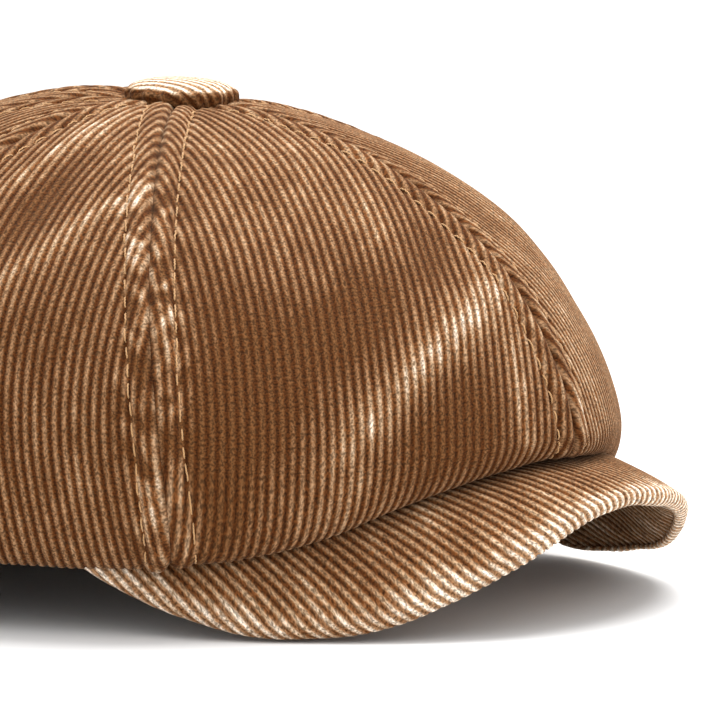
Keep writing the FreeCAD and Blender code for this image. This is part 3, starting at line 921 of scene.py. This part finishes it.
def visor_wear_and_painted_light(under, soft, edge, turn, angle):
    """Pale along the rim, most on the wearer's left, partly wear and partly painted sheen; paler where the
    cloth bulges up; painted shade where the roll turns under.
    """
    if under:
        # the lower cloth is painted lighter, standing in for light that reaches its shade
        return 0.55 + 0.4 * soft
    inward = np.maximum(edge, 0.0)
    rubbed_and_sheen = 0.80 + 0.35 * smooth((30.0 - angle) / 45.0)
    wear_and_painted_light = (-0.06 + rubbed_and_sheen * np.exp(-(inward / 3.4) ** 1.2) + 0.25 * np.exp(-(inward / 12.0))
            + 0.5 * soft)
    # painted shade where the roll turns under
    return wear_and_painted_light - 0.8 * smooth((turn - 2.4) / 0.7)


def roll_over(co, uu, yy, height, rows):
    """Bends the rows of the upper cloth that lie past the rim round it. Gives how far each turns."""
    line_u, line_y, centre, out, normal = rim_frame()
    far, near = beyond(uu[rows], yy[rows], line_u, line_y)
    turn = np.zeros_like(uu)
    turn[rows] = far / roll
    a = np.minimum(far / roll, math.pi)[:, None]
    d = normal[near] * np.cos(a) + out[near] * np.sin(a)
    h = (height[rows] - 0.5 * smooth((far / roll - 2.7) / 0.5))[:, None]
    co[rows] = centre[near] + d * h
    return turn


def visor_cloth(name, material, under):
    """One cloth of the visor with its ribs running front to back."""
    step_u, step_y = (pitch / 6.0, 1.0) if under else (pitch / 8.0, 0.8)
    uu, yy = np.meshgrid(np.arange(-126.0, 126.0, step_u), np.arange(-152.0, -26.0, step_y))
    xx = np.interp(uu, across_u, across_x)
    reach = np.hypot(xx, yy)
    angle = np.degrees(np.arctan2(-xx, -yy))
    limit = table(visor_reach, np.abs(angle)) - (roll - 0.8 if under else roll)
    inside = reach <= limit
    inner = np.hypot(*opening_point(angle, visor_edge_out))
    # the lower cloth stops at the rim, and both stop at the head opening
    pull = np.where(inside, 1.0, limit / reach) if under else 1.0
    tuck = np.where(reach < inner, inner / np.maximum(reach, 1.0), 1.0)
    x, y = xx * pull * tuck, yy * pull * tuck
    phase = uu / pitch + 0.06 * noise(uu / 14.0, yy / 22.0, 301) + 0.5
    soft = 0.30 * noise(uu / 17.0, yy / 15.0, 302) + 0.14 * noise(uu / 7.0, yy / 9.0, 303)
    height = roll + soft + wale(phase, 0.40)
    if under:
        height = height - 0.8 * smooth((3.0 - (limit - reach)) / 2.5)
    middle = np.stack([x, y, visor_shape(x, y)], -1)
    co = middle + visor_normal(x, y) * ((-1.0 if under else 1.0) * height)[..., None]
    hide = (np.abs(angle) > visor_end_angle + 0.4) | (reach < inner - 1.2)
    if under:
        turn = np.zeros_like(uu)
        hide |= reach > limit + 1.2
    else:
        past_rim = (~inside) & (reach < limit + 22.0)
        turn = roll_over(co, uu, yy, height, past_rim)
        hide |= ((~inside) & (~past_rim)) | (turn > 3.3)
    faces = quads(np.arange(uu.size).reshape(uu.shape))
    faces = faces[~hide.ravel()[faces].any(1)]
    if under:
        faces = faces[:, ::-1]
    wear_and_painted_light = visor_wear_and_painted_light(under, soft, limit - reach, turn, angle)
    uv = np.stack([phase, yy / pitch + 70.0], -1)
    return build(name, placed(co), faces, uv, {"wear_and_painted_light": wear_and_painted_light}, material, [name])


def visor_board(material):
    """The stiff board between the visor's two cloths."""
    angle = np.linspace(-visor_end_angle, visor_end_angle, 67)
    low = np.hypot(*opening_point(angle, visor_edge_out)) + 0.4
    high = table(visor_reach, np.abs(angle)) - roll - 0.5
    q = np.linspace(0.0, 1.0, 15)
    r = low[:, None] + (high - low)[:, None] * q[None, :]
    t = np.radians(angle)[:, None]
    x, y = -r * np.sin(t), -r * np.cos(t)
    base, n = np.stack([x, y, visor_shape(x, y)], -1), visor_normal(x, y)
    ids = np.arange(x.size).reshape(x.shape)
    top, bottom = quads(ids), quads(ids + x.size)[:, ::-1]
    rim = np.concatenate([ids[0], ids[1:, -1], ids[-1, -2::-1], ids[-2::-1, 0]])
    wall = quads(np.stack([rim, rim + x.size]))
    co = np.concatenate([(base + n).reshape(-1, 3), (base - n).reshape(-1, 3)])
    return build("visor_board", placed(co), np.concatenate([top, bottom, wall]), None, None, material,
                 ["visor_board"])


# ---------------------------------------------------------------- button
def button_foot():
    """Where the button sits on the crown."""
    z = sum(crown_point(a, 0.02, 0)[2] for a in (5.0, 40.0)) / 2
    return np.array([0.0, -apex_forward, z + button_lift])


def place_button(p):
    """Tips the button back to lie on the crown's slope."""
    a = math.radians(button_lean)
    x, y, z = np.moveaxis(np.asarray(p, float), -1, 0)
    turned = [x, y * math.cos(a) - z * math.sin(a), y * math.sin(a) + z * math.cos(a)]
    return np.stack(turned, -1) + button_foot()


def button_profile():
    """Radius and height of the cover from its middle over the shoulder, down and in underneath."""
    t = np.linspace(0.0, math.pi / 2, 200)
    foot = button_radius * 0.985
    radius = [button_radius * np.sin(t) ** 0.72, button_radius * np.linspace(1.0, 0.985, 12)[1:],
              np.linspace(foot, button_radius * 0.8, 8)[1:]]
    height = [button_height * (0.35 + 0.65 * np.cos(t) ** 0.9),
              button_height * 0.35 * np.linspace(1.0, 0.0, 12)[1:], np.zeros(7)]
    return np.concatenate(radius), np.concatenate(height)


def button_cover(material):
    """One round of corduroy gathered over the shell."""
    r, z = button_profile()
    length = path_length(np.stack([r, z], -1))
    grid = np.arange(-19.0, 19.01, pitch / 10.0)
    uu, vv = np.meshgrid(grid, grid)
    flat = np.hypot(uu, vv)
    az = np.arctan2(vv, uu)
    rr, zz = np.interp(flat, length, r), np.interp(flat, length, z)
    dr, dz = np.interp(flat + 0.1, length, r) - rr, np.interp(flat + 0.1, length, z) - zz
    n = unit(np.stack([-dz, dr], -1) + 1e-9)
    shoulder = smooth((flat - 11.0) / 3.0)
    gather = shoulder * (0.42 * np.sin(az * 17.0 + 1.5 * noise(az * 2.0 + 9.0, flat / 6.0, 404))
                         + 0.22 * noise(az * 6.0 + 40.0, flat / 3.0, 405))
    phase = uu / pitch + 0.05 * noise(uu / 5.0, vv / 6.0, 401) + 20.5
    h = wale(phase, 0.28) * (1 - 0.35 * shoulder) + gather
    out = rr + n[..., 0] * h
    p = np.stack([out * np.cos(az), out * np.sin(az), zz + n[..., 1] * h], -1)
    hide = flat > length[-1] - 0.2
    faces = quads(np.arange(uu.size).reshape(uu.shape))
    faces = faces[~hide.ravel()[faces].any(1)]
    # the top is painted pale as sheen and highlight, the shoulder painted dark as shade
    wear_and_painted_light = 1.9 * (1 - smooth((flat - 11.5) / 3.0)) - 0.8 * shoulder
    uv = np.stack([phase, vv / pitch + 90.0], -1)
    return build("button_cover", placed(place_button(p)), faces, uv, {"wear_and_painted_light": wear_and_painted_light}, material,
                 ["button_cover"])


# ---------------------------------------------------------------- put it together
brown = corduroy("corduroy")
board = speckled("board", (196, 190, 178), (214, 209, 198), 900.0, 0.6, 0.2)
thread = spun("thread", (168, 118, 66), (236, 186, 126))
lining_cloth = woven("lining_cloth", (52, 36, 26), (92, 68, 50), 0.5, 0.0, 0.42, 0.15)
band_cloth = woven("band_cloth", (54, 38, 27), (98, 74, 54), 1.1, 1.0, 0.85, 0.1)
felt = speckled("felt", (150, 145, 134), (206, 201, 190), 2500.0, 0.95, 0.8)
gores = [Panel(panel, side) for side in (1, -1) for panel in range(4)]
for gore in gores:
    crown_panel(gore, brown)
    lining_panel(gore.panel, gore.side, lining_cloth)
topstitching(gores, thread)
band("sweatband", 0.0, 1.2, band_foot, band_height, 0.25, band_cloth, "sweatband_twill")
band("headband_stiffener", 1.6, 0.9, band_foot + 0.5, band_height - 1.0, 0.0, felt, "stiffener_felt")
visor_cloth("visor_cover_top", brown, False)
visor_cloth("visor_cover_bottom", brown, True)
visor_board(board)
button_cover(brown)

# the button's hidden metal keeps its CAD shape
metal = stamped("stamped_metal", (150, 150, 152), (208, 208, 210))
for name in ("button_shell", "button_back", "button_shank"):
    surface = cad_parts[name].data.materials
    surface.clear()
    surface.append(metal)

# ---------------------------------------------------------------- floor, light and camera
low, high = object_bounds()
bpy.ops.mesh.primitive_plane_add(size=14.0, location=(0, 0, min(low[2], 0.0)))
floor = bpy.context.object
floor.name = "floor"
floor.data.materials.append(plain("floor", 0.80, 0.9))
floor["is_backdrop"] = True

world = bpy.data.worlds.new("world")
bpy.context.scene.world = world
world.use_nodes = True
world.node_tree.nodes["Background"].inputs[0].default_value = (1.0, 1.0, 1.0, 1.0)
world.node_tree.nodes["Background"].inputs[1].default_value = 1.3


def lamp(name, place, aim, size, power):
    """A round soft lamp."""
    data = bpy.data.lights.new(name, "AREA")
    data.shape = "DISK"
    data.size = size
    data.energy = power
    thing = bpy.data.objects.new(name, data)
    thing.location = place
    thing.rotation_euler = (Vector(aim) - Vector(place)).to_track_quat("-Z", "Y").to_euler()
    bpy.context.scene.collection.objects.link(thing)


lamp("overhead", (0.35, -0.10, 1.1), (0.0, 0.0, 0.05), 0.8, 14.0)

# camera at the photograph's angle
phi, rise = math.radians(54.0), math.radians(7.641)
distance = 1838.227  # mm, to the origin of the level cap
aim_right, aim_up = 58.94, 38.80  # the middle of the view, from that origin
back = np.array([-math.sin(phi) * math.cos(rise), -math.cos(phi) * math.cos(rise), math.sin(rise)])
right = np.array([math.cos(phi), -math.sin(phi), 0.0])
up = np.cross(back, right)
sight = unit(-back * distance + right * aim_right + up * aim_up)
data = bpy.data.cameras.new("camera")
data.sensor_width = 36.0
data.lens = 387.774
data.clip_start, data.clip_end = 0.01, 60.0
camera = bpy.data.objects.new("camera", data)
bpy.context.scene.collection.objects.link(camera)
camera.location = (stand + back * distance) / 1000.0
camera.rotation_mode = "QUATERNION"
camera.rotation_quaternion = Vector(sight).to_track_quat("-Z", "Y")
bpy.context.scene.camera = camera
bpy.context.scene.view_settings.view_transform = "Standard"
bpy.context.scene.view_settings.look = "None"

low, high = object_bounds()
